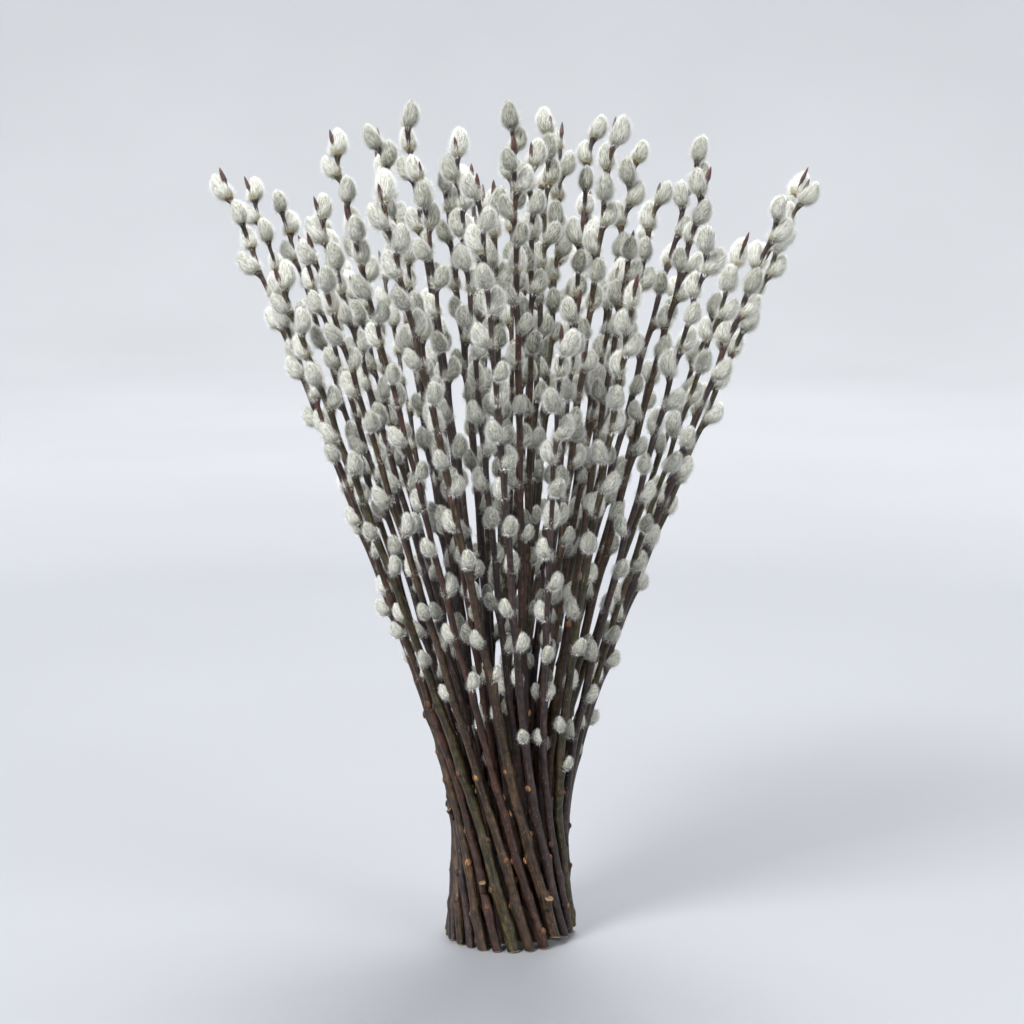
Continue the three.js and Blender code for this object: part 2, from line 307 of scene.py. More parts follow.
class Parts:
    """Gathers points and faces of one piece, with their materials, map places and normals."""

    def __init__(self):
        self.points, self.faces, self.slots, self.extra = [], [], [], {}
        self.count = 0

    def add(self, points, faces, slot, **extra):
        """faces is a list of arrays of three-sided or four-sided faces, or of (array, slot) pairs."""
        for group in faces:
            array, own = group if isinstance(group, tuple) else (group, slot)
            self.faces.append(array + self.count)
            self.slots.append(np.full(len(array), own))
        self.points.append(points)
        self.count += len(points)
        for name, values in extra.items():
            self.extra.setdefault(name, []).append(np.broadcast_to(values, (len(points), values.shape[-1])))

    def piece(self, name, materials):
        """Makes the mesh object, in metres, with its place in its mesh."""
        mesh = bpy.data.meshes.new(name)
        points = np.concatenate(self.points) * 0.001 + AXIS
        sizes = np.concatenate([np.full(len(f), f.shape[1]) for f in self.faces])
        corners = np.concatenate([f.ravel() for f in self.faces])
        mesh.vertices.add(len(points))
        mesh.vertices.foreach_set("co", points.astype(np.float32).ravel())
        mesh.loops.add(len(corners))
        mesh.loops.foreach_set("vertex_index", corners.astype(np.int32))
        mesh.polygons.add(len(sizes))
        starts = np.concatenate([[0], np.cumsum(sizes)[:-1]])
        mesh.polygons.foreach_set("loop_start", starts.astype(np.int32))
        mesh.polygons.foreach_set("material_index", np.concatenate(self.slots).astype(np.int32))
        mesh.polygons.foreach_set("use_smooth", np.full(len(sizes), True))
        if "OFBake" in self.extra:
            places = np.concatenate(self.extra["OFBake"])[corners]
            layer = mesh.uv_layers.new(name="OFBake")
            layer.uv.foreach_set("vector", places.astype(np.float32).ravel())
        if "along_wood" in self.extra:
            layer = mesh.attributes.new("along_wood", "FLOAT_VECTOR", "POINT")
            values = np.concatenate(self.extra["along_wood"])
            layer.data.foreach_set("vector", values.astype(np.float32).ravel())
        mesh.update(calc_edges=True)
        mesh.validate()
        if "normal" in self.extra:
            normals = np.concatenate(self.extra["normal"])
            mesh.normals_split_custom_set_from_vertices(normals.tolist())
        for material in materials:
            mesh.materials.append(material)
        piece = bpy.data.objects.new(name, mesh)
        bpy.context.scene.collection.objects.link(piece)
        return piece


# ---- wood ----

BARK, CUT, BUD, SCAR = range(4)  # places in the list of a wood's materials


def nodes_of(branch, dice):
    """Heights and sides of the nodes: one under each catkin, and bud scars down the bare wood, with one
    in every SCAR_SPACING or so. Also the number of bud scars."""
    catkins = [(c.z - 1, c.across) for c in branch.catkins]
    heights, sides = [], []
    z = branch.foot + dice.uniform(*LOWEST_SCAR)
    end = min([h for h, _ in catkins], default=branch.lowest) - SCARS_BELOW
    while z < end:
        angle = branch.first_angle + NODE_TURN * len(heights) + dice.uniform(-0.5, 0.5)
        heights.append(z)
        sides.append([math.cos(angle), math.sin(angle), 0])
        z += SCAR_SPACING * dice.uniform(0.75, 1.4)
    scars = len(heights)
    heights += [h for h, _ in catkins[::-1]]
    sides += [a for _, a in catkins[::-1]]
    return np.array(heights), np.array(sides).reshape(-1, 3), scars


def wood_line(branch, z, heights, sides, phases):
    """The middle of the wood: the branch's line, pulled to each node's side as a zigzag whose corners are
    the nodes, with two slow waves each way. Also the radius, which swells over the last 8 mm below each
    node and falls off over 2.2 mm above it, as bell curves, with a slighter move to the node's side."""
    radius = wood_radius(branch, z)
    pull = np.stack([np.interp(z, heights, sides[:, k]) for k in range(3)], -1)
    fade = np.clip((z - branch.foot) / 20, 0, 1) * np.clip((branch.top - z) / 30, 0, 1)
    waves = [np.sin(z / 31 + phases[0]) + np.sin(z / 13 + phases[1]) * 0.4]
    waves += [np.sin(z / 27 + phases[2]) + np.sin(z / 11 + phases[3]) * 0.4, 0 * z]
    middle = centre(branch, z) + fade[:, None] * (ZIGZAG * pull + 0.18 * np.stack(waves, -1))
    gap = z[:, None] - heights
    bump = np.where(gap < 0, np.exp(-((gap / 8) ** 2)), np.exp(-((gap / 2.2) ** 2)))
    middle += (bump[..., None] * sides).sum(1) * (0.16 * radius)[:, None]
    return middle, radius * (1 + NODE_SWELL * bump.max(1, initial=0))


def add_rod(parts, branch, heights, sides, dice):
    """The rod of wood, from the slanting cut at the foot to the pointed tip bud. Its rings are level, and
    a ring's reach in a level way n is r / sqrt(1 - (n . d)^2), where d is the wood's direction. At share b
    of the bud's length its radius is the tip's times 1.45 (1 - b^2.2)^0.8. The bark's pattern follows the
    wood, by a place that is level round it and runs on along it."""
    shoulder = branch.top - TIP_BUD_LENGTH
    count = int((shoulder - branch.foot) / STATION_STEP)
    rise = np.concatenate([[0, 0.7], np.linspace(1.2, shoulder - branch.foot, count)])
    bud = np.array([0.12, 0.3, 0.5, 0.7, 0.86, 0.95])
    z = branch.foot + np.concatenate([rise, shoulder - branch.foot + bud * TIP_BUD_LENGTH])
    phases = dice.uniform(0, 6.28, 4)
    middle, radius = wood_line(branch, z, heights, sides, phases)
    budding = 1.45 * (1 - bud**2.2) ** 0.8
    radius[-len(bud):] = WOOD_RADIUS_TIP * branch.girth * budding
    radius[0] *= 0.84  # the cut's edge is a little rounded
    angle = np.arange(WOOD_SIDES) * 2 * math.pi / WOOD_SIDES + branch.first_angle
    ways = np.stack([np.cos(angle), np.sin(angle), 0 * angle], -1)
    way = direction(branch, z)
    reach = radius[:, None] / np.sqrt(1 - (way @ ways.T) ** 2)
    uneven = 1 + 0.035 * np.sin(2 * angle + z[:, None] / 23 + phases[0])
    offsets = (reach * uneven)[..., None] * ways
    slope = CUT_SLOPE * dice.uniform(0.1, 1) * np.array([math.cos(phases[1]), math.sin(phases[1])])
    steep = math.hypot(*slope)
    lift = offsets[..., :2] @ slope + steep * radius[:, None]
    offsets[..., 2] = lift * np.clip(1 - (z - branch.foot) / CUT_BLEND, 0, 1)[:, None]
    points = (middle[:, None] + offsets).reshape(-1, 3)
    foot = middle[0] + [0, 0, steep * radius[0]]
    tip = centre(branch, branch.top)
    points = np.concatenate([points, [foot, tip]])
    quads, triangles = grid_faces(len(z), WOOD_SIDES)
    flat = np.concatenate([
        np.concatenate([
            radius[:, None, None] * ways[None, :, :2],
            np.broadcast_to(z[:, None, None] + branch.pattern, (len(z), WOOD_SIDES, 1)),
        ], -1).reshape(-1, 3),
        [[0, 0, branch.foot + branch.pattern], [0, 0, branch.top + branch.pattern]],
    ])
    first_ring = quads[:WOOD_SIDES]
    bud_rings = quads[-WOOD_SIDES * len(bud):]
    rest = quads[WOOD_SIDES : len(quads) - len(bud_rings)]
    groups = [(rest, BARK), (first_ring, CUT), (bud_rings, BUD)]
    groups += [(triangles[:WOOD_SIDES], CUT), (triangles[WOOD_SIDES:], BUD)]
    parts.add(points, groups, BARK, along_wood=flat)
    return phases


def add_scars(parts, branch, heights, sides, phases, dice):
    """Flat domes where buds have fallen: an egg-shaped swelling, half sunk in the wood. At place a from -1
    to 1 along it, its half width is its length times 0.95 sqrt(1 - a^2) (1 - 0.25 a)."""
    if not len(heights):
        return
    middle, radius = wood_line(branch, heights, heights, sides, phases)
    along = direction(branch, heights)
    out = unit(sides - along * (sides * along).sum(-1, keepdims=True))
    beside = np.cross(along, out)
    lengths = dice.uniform(*SCAR_LENGTHS, len(heights))
    at = np.array([-0.86, -0.45, 0.1, 0.6, 0.92])
    wide = 0.95 * np.sqrt(1 - at**2) * (1 - 0.25 * at)
    middles = middle + out * (radius * 0.93)[:, None]
    middles = middles[:, None] + along[:, None] * (lengths[:, None] * at)[..., None]
    radii = lengths[:, None] * wide
    flatten = 0.4
    low = middles[:, 0] - along * (0.14 * lengths)[:, None]
    high = middles[:, -1] + along * (0.1 * lengths)[:, None]
    points = sweep(middles, radii, (out * flatten)[:, None], beside[:, None], SMALL_SIDES, low, high)
    faces = grid_faces(len(at), SMALL_SIDES, len(heights))
    place = np.repeat(heights + branch.pattern, len(at) * SMALL_SIDES + 2)
    flat = np.stack([points[:, 0], points[:, 1], place], -1)
    parts.add(points, list(faces), SCAR, along_wood=flat)


def add_stubs(parts, branch, dice):
    """The stump of a cut side twig on the outer side of some of the outermost branches: a rod that leaves
    the wood upwards and outwards, wide at its root and at its cut end."""
    if math.hypot(branch.x, branch.y) < 0.95 * WAIST_RADIUS:
        return
    heights = dice.uniform(*STUB_HEIGHTS, int(dice.random() < STUB_SHARE))
    for z in heights:
        outward = centre(branch, z) * [1, 1, 0]
        along = direction(branch, z)
        turn = dice.uniform(-0.7, 0.7)
        c, s = math.cos(turn), math.sin(turn)
        out = np.array([c * outward[0] - s * outward[1], s * outward[0] + c * outward[1], 0])
        out = unit(out - along * out.dot(along))
        axis = unit(along + out * 0.5)
        beside = unit(np.cross(axis, out))
        across = np.cross(beside, axis)
        length = dice.uniform(*STUB_LENGTHS)
        thick = wood_radius(branch, z) * dice.uniform(0.55, 0.75)
        at = np.array([0, 0.3, 0.65, 0.9, 1, 1.02])
        wide = np.array([1.3, 1.05, 0.95, 1.16, 1.1, 0.8]) * thick
        middles = (centre(branch, z) + out * 1.5 + axis * (at * length)[:, None])[None]
        low = middles[:, 0] - axis * 1.5
        high = middles[:, -1]
        points = sweep(middles, wide[None], across[None, None], beside[None, None], WOOD_SIDES, low, high)
        quads, triangles = grid_faces(len(at), WOOD_SIDES)
        last = quads[-WOOD_SIDES:]
        groups = [(quads[:-WOOD_SIDES], BARK), (last, CUT), (triangles[:WOOD_SIDES], BARK)]
        groups += [(triangles[WOOD_SIDES:], CUT)]
        ring = np.arange(WOOD_SIDES) * 2 * math.pi / WOOD_SIDES
        round_end = np.stack([np.cos(ring), np.sin(ring)], -1)
        place = z + branch.pattern
        onward = (at * length + place)[:, None, None]
        flat = np.concatenate([
            np.concatenate([
                wide[:, None, None] * round_end,
                np.broadcast_to(onward, (len(at), WOOD_SIDES, 1)),
            ], -1).reshape(-1, 3),
            [[0, 0, place], [0, 0, place + length]],
        ])
        parts.add(points, groups, BARK, along_wood=flat)


def add_cushions(parts, branch):
    """The shoulder of wood that carries each catkin: a round horn that leaves the wood below the catkin,
    widens upwards and ends as a cup round the catkin's base. Its middle follows a parabola from the
    wood to the catkin."""
    catkins = branch.catkins
    if not catkins:
        return
    base, along, axis, across, length, z = gather(catkins, "base", "along", "axis", "across", "length", "z")
    length = length[:, None]
    thick = wood_radius(branch, z)[:, None]
    wide = 0.5 * CATKIN_WIDTH * length
    start = base - along * 0.36 * length - across * 0.45 * thick
    bend = base - along * 0.12 * length + across * 0.03 * length
    end = base + axis * 0.1 * length + across * 0.05 * length
    t = np.array([0, 0.3, 0.55, 0.78, 0.93, 1])[:, None]
    path = start[:, None] * (1 - t) ** 2 + 2 * bend[:, None] * t * (1 - t) + end[:, None] * t**2
    grow = np.array([0, 0.12, 0.3, 0.62, 0.9, 1])
    radii = mix(0.85 * thick, 0.52 * wide, grow)
    radii[:, -1] *= 0.93
    beside = unit(np.cross(axis, across))
    outward = np.cross(beside, axis)
    low = path[:, 0]
    high = path[:, -1] - axis * 0.03 * length
    points = sweep(path, radii, outward[:, None], beside[:, None], SMALL_SIDES, low, high)
    quads, triangles = grid_faces(len(t), SMALL_SIDES, len(catkins))
    per = len(t) * SMALL_SIDES + 2
    ring = np.arange(SMALL_SIDES) * 2 * math.pi / SMALL_SIDES
    rings = np.tile(np.stack([np.cos(ring), np.sin(ring)], -1), (len(t), 1))
    round_end = np.concatenate([rings, [[0, 0], [0, 0]]])
    flat = np.concatenate([
        np.tile(round_end, (len(catkins), 1)) * np.repeat(thick, per, 0),
        (points[:, 2] + branch.pattern)[:, None],
    ], -1)
    parts.add(points, [quads, triangles], BARK, along_wood=flat)


def make_wood(branch, number, materials):
    """One piece of a branch's rod, bud scars, stub and the shoulders that carry its catkins."""
    dice = np.random.default_rng(1000 + number)
    parts = Parts()
    heights, sides, scars = nodes_of(branch, dice)
    phases = add_rod(parts, branch, heights, sides, dice)
    add_scars(parts, branch, heights[:scars], sides[:scars], phases, dice)
    add_stubs(parts, branch, dice)
    add_cushions(parts, branch)
    return parts.piece(f"branch_{number:02d}_wood", materials)


# ---- catkins ----


def egg(t):
    """An egg's half width at t along it: half of an ellipse below the widest place, and above it half of
    a longer one, (1 - s^2) to the power 0.52, which is a little more pointed."""
    below = np.clip(1 - t / CATKIN_WIDEST, 0, 1)
    above = np.clip((t - CATKIN_WIDEST) / (1 - CATKIN_WIDEST), 0, 1)
    return np.sqrt(1 - below**2) * (1 - above**2) ** 0.52


def egg_slope(t):
    """How fast the egg's half width grows with t."""
    step = 0.01
    return (egg(np.minimum(t + step, 1)) - egg(np.maximum(t - step, 0))) / (2 * step)


def add_cores(parts, catkins, tones):
    """The firm bodies of the catkins, which show between the hairs: an egg's outline round a line that
    bows outwards as half a sine wave. Each point faces as the egg does there."""
    at = np.array([0.04, 0.16, 0.36, 0.58, 0.78, 0.92])
    sides = SMALL_SIDES
    axis, across, base, length = gather(catkins, "axis", "across", "base", "length")
    length = length[:, None]
    beside = unit(np.cross(axis, across))
    outward = np.cross(beside, axis)
    reach = CORE_LENGTH * at
    bow = CATKIN_BOW * np.sin(math.pi * at)
    middles = base[:, None] + axis[:, None] * (reach * length)[..., None]
    middles = middles + outward[:, None] * (bow * length)[..., None]
    radii = 0.5 * CATKIN_WIDTH * CORE_SHARE * length * egg(at)
    low = base + axis * 0.02 * length
    high = base + axis * CORE_LENGTH * length
    points = sweep(middles, radii, outward[:, None], beside[:, None], sides, low, high)
    per = len(at) * sides + 2
    ring = np.arange(sides) * 2 * math.pi / sides
    ways = outward[:, None] * np.cos(ring)[:, None] + beside[:, None] * np.sin(ring)[:, None]
    lean = -0.5 * CATKIN_WIDTH * CORE_SHARE * egg_slope(at)
    normals = unit(ways[:, None] + axis[:, None, None] * lean[None, :, None, None])
    normals = normals.reshape(len(catkins), -1, 3)
    normals = np.concatenate([normals, -axis[:, None], axis[:, None]], 1).reshape(-1, 3)
    along = np.concatenate([np.repeat(at, sides), [0, 1]])
    u = (np.repeat(tones, per) + np.tile(mix(0.06, 0.94, along), len(catkins))) / TONES
    around = np.concatenate([np.tile(np.abs(np.sin(ring * 2)), len(at)), [0.5, 0.5]])
    v = np.tile(0.02 + 0.16 * around, len(catkins))
    faces = list(grid_faces(len(at), sides, len(catkins)))
    parts.add(points, faces, 0, OFBake=np.stack([u, v], -1), normal=normals)


def add_hairs(parts, catkin, tone, dice, raggedness):
    """Silky hairs: each is one long thin triangle, rooted on the core. It lies along the core towards the
    tip, raised by an angle and turned a little aside. Some stand up further, as a halo, and those at the
    base of a ragged catkin stick out as a skirt. A hair is lit as the core under it is."""
    count = int(HAIRS * (catkin.length / CATKIN_LENGTH_TOP) ** 1.6)
    t = dice.beta(1.0, 1.25, count)
    phi = dice.uniform(0, 2 * math.pi, count)
    beside = unit(np.cross(catkin.axis, catkin.across))
    outward = np.cross(beside, catkin.axis)
    wide = 0.5 * CATKIN_WIDTH * CORE_SHARE
    ways = outward * np.cos(phi)[:, None] + beside * np.sin(phi)[:, None]
    slope = (wide * egg_slope(t))[:, None]
    normal = unit(ways - slope * catkin.axis)
    tangent = unit(catkin.axis + slope * ways)
    bow = (CATKIN_BOW * np.sin(math.pi * t))[:, None]
    under = (wide * 0.97 * egg(t))[:, None]  # just under the core's surface
    place = catkin.axis * (CORE_LENGTH * t)[:, None] + outward * bow + ways * under
    root = catkin.base + catkin.length * place
    skirt = np.exp(-((t / 0.2) ** 2)) * dice.uniform(0, 105, count) * raggedness
    halo = np.where(dice.random(count) < 0.22, dice.uniform(8, 34, count), 0)
    raised = np.radians(dice.normal(20, 7, count) + 14 * t**3 + skirt + halo)[:, None]
    aside = dice.normal(0, 0.2, count)[:, None] * np.cross(tangent, normal)
    way = unit(tangent * np.cos(raised) + normal * np.sin(raised) + aside)
    size = HAIR_LENGTH * catkin.length * dice.uniform(0.65, 1.2, count) * (1 - 0.5 * t**2)
    roll = dice.uniform(-0.8, 0.8, count)[:, None]
    across = unit(np.cross(way, normal) * np.cos(roll) + normal * np.sin(roll))
    half = 0.5 * HAIR_WIDTH * dice.uniform(0.7, 1.3, count)[:, None] * across
    points = np.stack([root - half, root + half, root + way * size[:, None]], 1)
    u = tone + np.clip(mix(0.06, 0.94, t) + dice.normal(0, 0.03, count), 0.03, 0.97)
    u = np.stack([u - 0.005, u + 0.005, u], -1) / TONES
    v = np.broadcast_to([0.24, 0.24, 0.98], u.shape)
    soft = unit(np.stack([normal, normal, normal + 0.4 * way], 1))
    faces = np.arange(3 * count).reshape(-1, 3)
    places = np.stack([u, v], -1).reshape(-1, 2)
    parts.add(points.reshape(-1, 3), [faces], 0, OFBake=places, normal=soft.reshape(-1, 3))


def make_catkins(branch, number, materials):
    """One piece of all the catkins on a branch. Catkins on the inner branches are painted greyer, as painted
    shade for the shade inside the bunch; lower down they are whiter, and more ragged."""
    dice = np.random.default_rng(5000 + number)
    parts = Parts()
    heights = np.array([c.z for c in branch.catkins])
    up = (heights - CATKINS_FROM) / CATKINS_RISE
    outward = math.hypot(branch.x, branch.y) / WAIST_RADIUS
    # painted shade: the nearer a branch is to the bunch's axis, the greyer its catkins' tones, standing in
    # for the shade inside the bunch
    whiteness_and_painted_shade = mix(2.0, 8.2, outward) - 2.0 * up
    tones = np.clip(dice.normal(whiteness_and_painted_shade, 1.5), 0, TONES - 1).astype(int)
    add_cores(parts, branch.catkins, tones)
    for catkin, tone in zip(branch.catkins, tones):
        raggedness = np.clip(1.5 - (catkin.z - CATKINS_FROM) / 330, 0.3, 1.2) * dice.uniform(0.6, 1.2)
        add_hairs(parts, catkin, tone, dice, raggedness)
    return parts.piece(f"branch_{number:02d}_catkins", materials)


# ---- the wire ----


def make_wire(material):
    """Two strands of wire twisted round each other in a ring: strand k is on a circle of the strand's own
    radius round the ring's line, at the angle turns times theta plus k times pi."""
    low, high = WIRE_BOX
    strand, turns, steps, sides = 0.24, 46, 720, 6
    ring = ((high[0] - low[0]) * 1000 - WIRE_THICKNESS) / 2
    height = (high[2] + low[2]) * 1000 / 2
    theta = np.arange(steps) * 2 * math.pi / steps
    level = np.stack([np.cos(theta), np.sin(theta), 0 * theta], -1)
    upright = np.array([0, 0, 1.0])
    parts = Parts()
    angle = np.arange(sides) * 2 * math.pi / sides
    for k in range(2):
        twist = (turns * theta + k * math.pi)[:, None]
        middle = level * ring + strand * (level * np.cos(twist) + upright * np.sin(twist))
        middle[:, 2] += height
        ways = level[:, None] * np.cos(angle)[:, None] + upright * np.sin(angle)[:, None]
        points = (middle[:, None] + strand * ways).reshape(-1, 3)
        r, s = np.meshgrid(np.arange(steps), np.arange(sides), indexing="ij")
        a, b = r * sides + s, r * sides + (s + 1) % sides
        onward = ((r + 1) % steps - r) * sides
        quads = np.stack([a, a + onward, b + onward, b], -1).reshape(-1, 4)
        parts.add(points, [quads], 0)
    return parts.piece("binding_wire_strands", [material])


# ---- materials ----


def linear(hexadecimal):
    """An sRGB colour such as "8a6f52" as linear red, green, blue and full alpha."""
    shares = [int(hexadecimal[k : k + 2], 16) / 255 for k in (0, 2, 4)]
    return [s / 12.92 if s <= 0.04045 else ((s + 0.055) / 1.055) ** 2.4 for s in shares] + [1.0]


def node(tree, kind, settings=None, links=None):
    """Adds a node. settings holds its properties by name and its sockets' values by name or number, and
    links gives, by input name or number, the output that feeds it."""
    made = tree.nodes.new("ShaderNode" + kind)
    for key, value in (settings or {}).items():
        if isinstance(key, str) and hasattr(made, key):
            setattr(made, key, value)
        else:
            made.inputs[key].default_value = value
    for key, output in (links or {}).items():
        tree.links.new(output, made.inputs[key])
    return made


def new_material(name):
    """A new material, its node tree and its surface node."""
    material = bpy.data.materials.new(name)
    material.use_nodes = True
    return material, material.node_tree, material.node_tree.nodes["Principled BSDF"]


def ramp(tree, share, *stops):
    """Colours at places along a share from 0 to 1."""
    made = node(tree, "ValToRGB", links={0: share})
    elements = made.color_ramp.elements
    for k, (place, colour) in enumerate(stops):
        element = elements[k] if k < 2 else elements.new(place)
        element.position = place
        element.color = linear(colour)
    return made.outputs["Color"]


def blend(tree, share, first, second, kind="MIX"):
    """Mixes two colours, by a share or a number."""
    made = node(tree, "Mix", {"data_type": "RGBA", "blend_type": kind})
    for key, value in ((0, share), (6, first), (7, second)):
        if hasattr(value, "is_linked"):
            tree.links.new(value, made.inputs[key])
        else:
            made.inputs[key].default_value = value
    return made.outputs[2]


def between(tree, value, low, high):
    """The share from 0 to 1 of a value between two others, eased at both ends."""
    settings = {"interpolation_type": "SMOOTHSTEP", 1: low, 2: high}
    return node(tree, "MapRange", settings, {0: value}).outputs[0]


def willow_bark(name, dark, light, warm):
    """Bark of a one-year willow shoot: smooth and a little waxy, so it has a soft gloss. Its patterns, in
    millimetres: grain 1 across and 8 along, patches of 5, streaks 2 across and 40 along, blotches of 30,
    and pale pores of about 1."""
    material, tree, surface = new_material(name)
    place = node(tree, "Attribute", {"attribute_name": "along_wood"}).outputs["Vector"]
    stretched = node(tree, "Mapping", {"Scale": (1, 1, 0.12)}, {"Vector": place}).outputs[0]
    grain = node(tree, "TexNoise", {"Scale": 1.1, "Detail": 4}, {"Vector": stretched}).outputs[0]
    blotch = node(tree, "TexNoise", {"Scale": 0.035, "Detail": 3}, {"Vector": place}).outputs[0]
    patch = node(tree, "TexNoise", {"Scale": 0.22, "Detail": 2}, {"Vector": place}).outputs[0]
    squashed = node(tree, "Mapping", {"Scale": (0.5, 0.5, 0.8)}, {"Vector": place}).outputs[0]
    pores = node(tree, "TexVoronoi", {"Scale": 0.55}, {"Vector": squashed}).outputs["Distance"]
    colour = ramp(tree, grain, (0.34, dark), (0.72, light))
    colour = blend(tree, between(tree, blotch, 0.45, 0.68), colour, linear(warm))
    shade = ramp(tree, patch, (0.32, "5a5a5a"), (0.62, "ffffff"))
    colour = blend(tree, 0.8, colour, shade, "MULTIPLY")
    long = node(tree, "Mapping", {"Scale": (1, 1, 0.045)}, {"Vector": place}).outputs[0]
    streak = node(tree, "TexNoise", {"Scale": 0.5, "Detail": 2}, {"Vector": long}).outputs[0]
    shade = ramp(tree, streak, (0.38, "707070"), (0.64, "ffffff"))
    colour = blend(tree, 0.8, colour, shade, "MULTIPLY")
    pore = between(tree, pores, 0.16, 0.1)
    colour = blend(tree, pore, colour, linear("7a614c"))
    tree.links.new(colour, surface.inputs["Base Color"])
    rough = node(tree, "MapRange", {1: 0.3, 2: 0.7, 3: 0.36, 4: 0.58}, {0: grain}).outputs[0]
    tree.links.new(rough, surface.inputs["Roughness"])
    bump = node(tree, "Bump", {"Strength": 0.5, "Distance": 0.0003}, {"Height": grain})
    tree.links.new(bump.outputs[0], surface.inputs["Normal"])
    surface.inputs["Specular IOR Level"].default_value = 0.45
    return material


def cut_willow():
    """A knife cut across willow: matt, pale under the bark, weathered darker inwards, with a brown pith in
    the middle and stains of about 2 mm."""
    material, tree, surface = new_material("cut willow wood")
    place = node(tree, "Attribute", {"attribute_name": "along_wood"}).outputs["Vector"]
    flat = node(tree, "Mapping", {"Scale": (1, 1, 0)}, {"Vector": place}).outputs[0]
    out = node(tree, "VectorMath", {"operation": "LENGTH"}, {0: flat}).outputs["Value"]
    share = node(tree, "MapRange", {1: 0, 2: 4.6}, {0: out}).outputs[0]
    pith_to_heart = (0.0, "4a3724"), (0.16, "6d5a3d"), (0.6, "7c6747")
    colour = ramp(tree, share, *pith_to_heart, (0.82, "ab956c"), (0.96, "b8a47d"))
    stain = node(tree, "TexNoise", {"Scale": 0.6, "Detail": 3}, {"Vector": place}).outputs[0]
    colour = blend(tree, between(tree, stain, 0.5, 0.72), colour, linear("6b4526"))
    tree.links.new(colour, surface.inputs["Base Color"])
    surface.inputs["Roughness"].default_value = 0.8
    return material


def bud_scale():
    """The smooth, hard scale of a willow's bud: dark red-brown with a waxy gloss, in patches of 2 mm."""
    material, tree, surface = new_material("willow bud scale")
    place = node(tree, "Attribute", {"attribute_name": "along_wood"}).outputs["Vector"]
    patch = node(tree, "TexNoise", {"Scale": 0.5, "Detail": 3}, {"Vector": place}).outputs[0]
    colour = ramp(tree, patch, (0.35, "2c1a18"), (0.7, "5a352a"))
    tree.links.new(colour, surface.inputs["Base Color"])
    surface.inputs["Roughness"].default_value = 0.4
    return material


def bud_scar():
    """Healed cork where a bud or a leaf fell off: rough, from dark brown to orange and cream from one scar
    to the next, with dark specks just under 1 mm."""
    material, tree, surface = new_material("willow bud scar cork")
    place = node(tree, "Attribute", {"attribute_name": "along_wood"}).outputs["Vector"]
    patch = node(tree, "TexNoise", {"Scale": 0.05, "Detail": 1}, {"Vector": place}).outputs[0]
    fine = node(tree, "TexNoise", {"Scale": 1.2, "Detail": 3}, {"Vector": place}).outputs[0]
    colour = ramp(tree, patch, (0.36, "3c2a22"), (0.47, "63402c"), (0.57, "87522f"), (0.68, "a5814f"))
    shade = ramp(tree, fine, (0.42, "454545"), (0.58, "ffffff"))
    colour = blend(tree, 0.8, colour, shade, "MULTIPLY")
    tree.links.new(colour, surface.inputs["Base Color"])
    surface.inputs["Roughness"].default_value = 0.75
    return material


def catkin_silk():
    """Silky hairs of a pussy willow's catkin over its grey-green body. On the map, each eighth of the
    width is one kind of catkin from grey-green to white, and within it the place from base to tip. The
    height is the body up to 0.2, and the hairs from root to tip above. Silk is soft and matt, with a pale
    sheen at its edges. One hair differs from the next as its place across the map does, since a real
    hair's own pattern is too fine to show."""
    material, tree, surface = new_material("willow catkin silk")
    place = node(tree, "UVMap", {"uv_map": "OFBake"}).outputs[0]
    split = node(tree, "SeparateXYZ", links={0: place})
    across, up = split.outputs[0], split.outputs[1]
    eighths = node(tree, "Math", {"operation": "MULTIPLY", 1: float(TONES)}, {0: across}).outputs[0]
    kind = node(tree, "Math", {"operation": "FLOOR"}, {0: eighths}).outputs[0]
    along = node(tree, "Math", {"operation": "FRACT"}, {0: eighths}).outputs[0]
    white = node(tree, "MapRange", {1: 0.0, 2: TONES - 1.0}, {0: kind}).outputs[0]
    single = node(tree, "Mapping", {"Scale": (320, 2, 1)}, {"Vector": place}).outputs[0]
    single = node(tree, "TexNoise", {"Scale": 1.0, "Detail": 1}, {"Vector": single}).outputs[0]
    grey_body = (0.0, "454636"), (0.2, "5f604f")
    grey = ramp(tree, up, *grey_body, (0.24, "878674"), (0.45, "bdbdae"), (0.75, "dfe1d9"), (1.0, "f8faf7"))
    pale_body = (0.0, "7e7f72"), (0.2, "9d9c8c")
    pale = ramp(tree, up, *pale_body, (0.24, "c5c5b7"), (0.45, "e7e7de"), (0.75, "f8f9f6"), (1.0, "ffffff"))
    colour = blend(tree, white, grey, pale)
    base = between(tree, along, 0.2, 0.06)
    colour = blend(tree, base, colour, linear("b9a877"))
    shade = ramp(tree, single, (0.3, "dedede"), (0.6, "ffffff"))
    colour = blend(tree, 0.7, colour, shade, "MULTIPLY")
    tree.links.new(colour, surface.inputs["Base Color"])
    surface.inputs["Roughness"].default_value = 0.8
    surface.inputs["Specular IOR Level"].default_value = 0.2
    surface.inputs["Sheen Weight"].default_value = 1.0
    surface.inputs["Sheen Roughness"].default_value = 0.4
    return material


def annealed_wire():
    """Soft iron binding wire, annealed black: dull, with brown rust in patches of 2.5 mm."""
    material, tree, surface = new_material("annealed iron wire")
    place = node(tree, "TexCoord").outputs["Object"]
    patch = node(tree, "TexNoise", {"Scale": 400.0, "Detail": 3}, {"Vector": place}).outputs[0]
    colour = ramp(tree, patch, (0.4, "2b2826"), (0.7, "5a3a26"))
    tree.links.new(colour, surface.inputs["Base Color"])
    surface.inputs["Metallic"].default_value = 0.7
    surface.inputs["Roughness"].default_value = 0.55
    return material


# ---- studio ----


